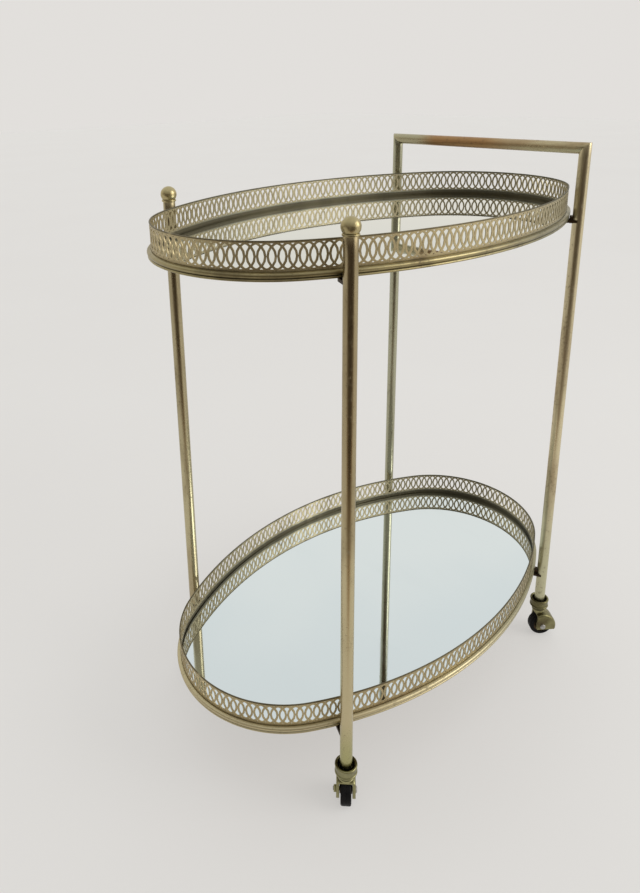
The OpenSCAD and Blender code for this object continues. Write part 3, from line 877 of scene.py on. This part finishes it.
def screw_master():
    """A slotted screw with a low domed head, driven up through the lug into the rail."""
    tip, point, half_slot = 0.0102, 0.0007, 0.0003
    screw = turned("screw_master", [
        (0, -SCREW_HEAD_H), (0.6*SCREW_HEAD_R, -SCREW_HEAD_H), (0.9*SCREW_HEAD_R, -0.7*SCREW_HEAD_H),
        (SCREW_HEAD_R, -0.25*SCREW_HEAD_H), (SCREW_HEAD_R, 0),
        (SCREW_R, 0), (SCREW_R, tip - point), (0, tip),
    ], closed=False, steps=24)
    slot_low = (-2*SCREW_HEAD_R, -half_slot, -2*SCREW_HEAD_H)
    cut(screw, block("slot", slot_low, (2*SCREW_HEAD_R, half_slot, -0.5*SCREW_HEAD_H)))
    screw.data.transform(Matrix.Translation((SCREW_OFF - POST_OFF, 0, -LUG_T)))
    return screw


def make_lugs():
    """A lug and a screw wherever a post passes a rail."""
    places = [
        Matrix.Translation((0, 0, height)) @ place for height in TIERS.values() for place in POSTS.values()
    ]
    kinds = [
        # The lugs take the near-black brass of painted shade.
        (lug_master(), "cast_lugs", SHADE_DARK_BRASS, "dark_brass", "post_lugs"),
        (screw_master(), "slotted_screws", STEEL, "steel", "lug_screws"),
    ]
    for master, name, finish, slot, node in kinds:
        piece = join([copy_of(master, name, place) for place in places])
        discard(master)
        dress(piece, FRAME_BODY, finish, slot, node)


def cup_master():
    """The caster's open cup: a stepped foot, a beaded body and a thick, rolled lip."""
    inner, waist, roll = CUP_R - CUP_WALL, CUP_R - 0.0008, 0.0017
    shoulder = CUP_FOOT_H + 0.002
    outline = [(STEM_BORE_R, 0), (CUP_FOOT_R - 0.0008, 0), (CUP_FOOT_R, 0.0008), (CUP_FOOT_R, 0.0026)]
    outline += [(CUP_FOOT_R - 0.0004, 0.003), (CUP_FOOT_R - 0.0004, 0.0042), (CUP_FOOT_R, 0.0048)]
    outline += [(CUP_FOOT_R + 0.0004, CUP_FOOT_H - 0.0006)]
    outline += arc(CUP_R - roll, shoulder + roll, roll, -80, 60, 8)
    outline += [(waist - 0.0002, shoulder + 0.004), (waist, shoulder + 0.0048), (waist, CUP_H - 0.0048)]
    outline += arc(CUP_R - roll, CUP_H - roll, roll, -35, 180, 12)
    outline += [(inner, CUP_H - 0.0024), (inner, shoulder + 0.002), (CUP_WELL_R, shoulder)]
    outline += [(CUP_WELL_R, CUP_FLOOR), (STEM_BORE_R, CUP_FLOOR)]
    cup = turned("cup_master", outline)
    cup.data.transform(Matrix.Translation((0, 0, CUP_BASE)))
    return cup


def barrel(name, radius, length):
    """A cylinder about the wheel's axle."""
    return rod(name, radius, length, (TRAIL, 0, WHEEL_R), crosswise=True, sides=72)


def lay_on_axle(piece):
    """Turns a piece made along Z to lie along the wheel's axle."""
    piece.data.transform(Matrix.Translation((TRAIL, 0, WHEEL_R)) @ Matrix.Rotation(-math.pi/2, 4, "X"))


def hood_master():
    """The cast hood over the wheel, open below and in front, with the neck that holds the cup."""
    drum = barrel("hood_master", HOOD_R, 2*HOOD_HALF)
    bpy.ops.object.mode_set(mode="EDIT")
    select_edges(drum, lambda edge: abs(edge.verts[0].co.y - edge.verts[1].co.y) < CHEEK_T)
    rounding = 0.0036
    bpy.ops.mesh.bevel(offset=rounding, segments=6, affect="EDGES")
    top = WHEEL_R + HOOD_R
    corner = HOOD_LIFT + 2*HOOD_T
    cuts = [
        ((0, 0, HOOD_LIFT), (0, 0, -1)),
        ((-CHEEK_REACH, 0, corner), (corner - top, 0, CHEEK_REACH - CROWN_REACH)),
        ((-CHEEK_REACH, 0, corner), (-2*HOOD_T, 0, -HOOD_T)),
    ]
    for point, normal in cuts:
        bpy.ops.mesh.select_all(action="SELECT")
        bpy.ops.mesh.bisect(
            plane_co=point, plane_no=Vector(normal).normalized(), use_fill=True, clear_outer=True,
            threshold=MERGE_GAP,
        )
    bpy.ops.object.mode_set(mode="OBJECT")
    close_up(drum)
    cut(drum, barrel("hollow", HOOD_R - HOOD_T, 2*(HOOD_HALF - CHEEK_T)))
    cut(drum, barrel("bore", AXLE_R + FIT, 4*HOOD_HALF))
    soften(drum, 0.0004, 2, 50)
    base, edge, stem_seat = top - HOOD_NECK_LAP, 0.0004, CUP_BASE - 0.00365
    outline = [(0, base), (HOOD_NECK_R - edge, base), (HOOD_NECK_R, base + edge)]
    outline += [(HOOD_NECK_R, CUP_BASE - edge), (HOOD_NECK_R - edge, CUP_BASE), (STEM_BORE_R, CUP_BASE)]
    outline += [(STEM_BORE_R, stem_seat), (0, stem_seat)]
    return join([drum, turned("neck", outline, closed=False)])


def axle_masters():
    """Axle pin with a domed head, and its nut."""
    head_r, head_h, nut_r, nut_h = 0.0045, 0.002, 0.0046, 0.0032
    tip, chamfer = HOOD_HALF + nut_h + 0.001, 0.0005
    pin = turned("axle_master", [
        (0, -HOOD_HALF - head_h), (0.45*head_r, -HOOD_HALF - head_h),
        (0.85*head_r, -HOOD_HALF - 0.7*head_h),
        (head_r, -HOOD_HALF - 0.25*head_h), (head_r, -HOOD_HALF), (AXLE_R, -HOOD_HALF),
        (AXLE_R, tip - chamfer), (AXLE_R - chamfer, tip), (0, tip),
    ], closed=False, steps=32)
    nut = rod("nut_master", nut_r, nut_h, (0, 0, HOOD_HALF + nut_h/2), sides=6)
    cut(nut, rod("nut_bore", AXLE_R + FIT, CUTTER_L, sides=32))
    soften(nut, 0.0004, 2)
    lay_on_axle(pin)
    lay_on_axle(nut)
    return pin, nut


def wheel_masters():
    """Hub with its boss and rim, and a tyre with grooved flanks, round shoulders and a mould line."""
    bore, boss_r, web = AXLE_R + FIT, 0.0055, 0.0025
    well, half_rim, half_boss = RIM_R - 0.002, TYRE_W/2 - 0.001, HOOD_HALF - CHEEK_T - 0.0003
    side = [(bore, half_boss), (boss_r - 0.0005, half_boss), (boss_r, half_boss - 0.0005)]
    side += [(boss_r + 0.0002, web + 0.0008), (boss_r + 0.001, web), (well - 0.001, web)]
    side += [(well, web + 0.001), (well, half_rim), (RIM_R, half_rim)]
    hub = turned("hub_master", side + [(radius, -across) for radius, across in reversed(side)])
    shoulder, flank, groove = 0.0025, TYRE_W/2, 0.0003
    half = [(RIM_R + FIT, flank), (RIM_R + 0.0012, flank), (RIM_R + 0.0016, flank - groove)]
    half += [(RIM_R + 0.0022, flank - groove), (RIM_R + 0.0026, flank)]
    half += arc(WHEEL_R - shoulder, flank - shoulder, shoulder, 90, 0, 7)
    half += [(WHEEL_R, 2*groove), (WHEEL_R - groove, groove)]
    tyre = turned("tyre_master", half + [(radius, -across) for radius, across in reversed(half)], steps=64)
    lay_on_axle(hub)
    lay_on_axle(tyre)
    return hub, tyre


def make_casters():
    pin, nut = axle_masters()
    hub, tyre = wheel_masters()
    kinds = [
        (cup_master(), "open_cup", "cup", "swivel", CASTER_BRASS, "brass"),
        (hood_master(), "wheel_hood", "hood", "swivel", CASTER_BRASS, "brass"),
        (pin, "axle_pin", "axle", "swivel", STEEL, "steel"),
        (nut, "hex_nut", "axle_nut", "swivel", CASTER_BRASS, "brass"),
        # The hubs take the near-black brass of painted shade.
        (hub, "wheel_hub", "hub", "wheel", SHADE_DARK_BRASS, "dark_brass"),
        (tyre, "wheel_tyre", "tyre", "wheel", RUBBER, "tyre"),
    ]
    for master, name, node, body, finish, slot in kinds:
        for number, place in CASTERS.items():
            piece = copy_of(master, f"{name}_{number}", place)
            dress(piece, f"{body}_{number}", finish, slot, f"{node}_{number}")
        discard(master)


def dress_plain_nodes():
    """The steel pieces inside the casters and posts keep their own shapes."""
    inner = ["caster_sockets"] + [f"{kind}_{n}" for kind in ("stem", "grip_ring") for n in CASTER_NUMBERS]
    for node in inner:
        for slot in frame["nodes"][node].material_slots:
            slot.material = STEEL


def make_camera():
    """Seen from the finial end and a little above. The lens is measured in a frame 893 by 640."""
    frame_h, focal = 893, 729.2
    centre_u, centre_v = 44.2, -136.5
    heading, pitch, roll = -0.7072, 0.3026, -0.0227
    data = bpy.data.cameras.new("view")
    data.sensor_fit = "VERTICAL"
    data.sensor_height = 24.0
    data.lens = data.sensor_height*focal/frame_h
    data.shift_x = centre_u/frame_h
    data.shift_y = centre_v/frame_h
    data.clip_start = 0.05
    camera = bpy.data.objects.new("view", data)
    bpy.context.scene.collection.objects.link(camera)
    camera.matrix_world = (
        Matrix.Translation((-0.7516, -0.6563, 0.8950)) @ Matrix.Rotation(heading, 4, "Z")
        @ Matrix.Rotation(math.pi/2 - pitch, 4, "X") @ Matrix.Rotation(roll, 4, "Z")
    )
    bpy.context.scene.camera = camera


def make_stage():
    """A pale floor that reaches past the view. The metal sees it dim where the camera stands."""
    bpy.ops.object.select_all(action="DESELECT")
    bpy.ops.mesh.primitive_plane_add(size=30, location=(0, 0, 0))
    floor = bpy.context.object
    floor.name = "floor"
    f = new_finish("pale_floor", Roughness=0.7, Specular_IOR_Level=0.2, Emission_Strength=0.62)
    across = abs(f.along((AWAY.y, -AWAY.x, 0)))
    in_metal = f.add("LightPath", output="Is Glossy Ray")
    behind = f.step(-f.along(AWAY) - across*0.6, 0.35, 1.1)*in_metal
    cloud = f.noise(1.2, 4.0)
    pale = f.mix(cloud, (0.76, 0.74, 0.715), (0.785, 0.77, 0.745))
    seen = f.mix(f.step(behind, 0.0, 0.5), pale, (0.42, 0.28, 0.15))
    seen = f.mix(f.step(behind, 0.3, 1.0), seen, (0.035, 0.018, 0.006))
    f.feed(Base_Color=f.mix(0.38, (0, 0, 0), seen), Emission_Color=seen)
    floor.data.materials.append(f.owner)


def make_light():
    """A pale room, dim low down behind the camera, with a window at the camera's right."""
    world = bpy.data.worlds.new("room")
    bpy.context.scene.world = world
    f = Finish(world)
    way = f.add("TexCoord", output="Generated")

    def towards(direction, low, high):
        values = {0: way, 1: Vector(direction).normalized()}
        facing = f.add("VectorMath", {"operation": "DOT_PRODUCT"}, values, "Value")
        return f.step(facing, low, high)

    wall = f.mix(towards(UP, 0.34, 0.56), (0.82, 0.79, 0.72), (0.90, 0.93, 0.94))
    dim = (1 - towards(AWAY, -0.45, 0.4))*(1 - 0.5*towards(UP, 0.06, 0.3))
    room = f.mix(dim, wall, (0.05, 0.03, 0.015))
    room = f.mix(towards((0.51, -0.86, 0.2), 0.84, 0.95), room, (1.5, 1.45, 1.37))
    room = f.mix(towards(UP, 0.6, 0.95), room, (0.82, 0.83, 0.84))
    backdrop = f.add("LightPath", output="Is Camera Ray")
    f.feed(Color=f.mix(backdrop, room, (0.76, 0.74, 0.715)))
    data = bpy.data.lights.new("window", "AREA")
    data.size = 1.6
    data.energy = 26
    lamp = bpy.data.objects.new("window", data)
    bpy.context.scene.collection.objects.link(lamp)
    lamp.location = (1.5, -2.3, 2.0)
    lamp.rotation_euler = (Vector((0, 0, 0.4)) - lamp.location).to_track_quat("-Z", "Y").to_euler()


make_camera()
make_posts()
make_handle_bar()
make_finials()
make_rails()
make_galleries()
make_shelves()
make_lugs()
make_casters()
dress_plain_nodes()
make_stage()
make_light()
bpy.context.scene.view_settings.view_transform = "Standard"
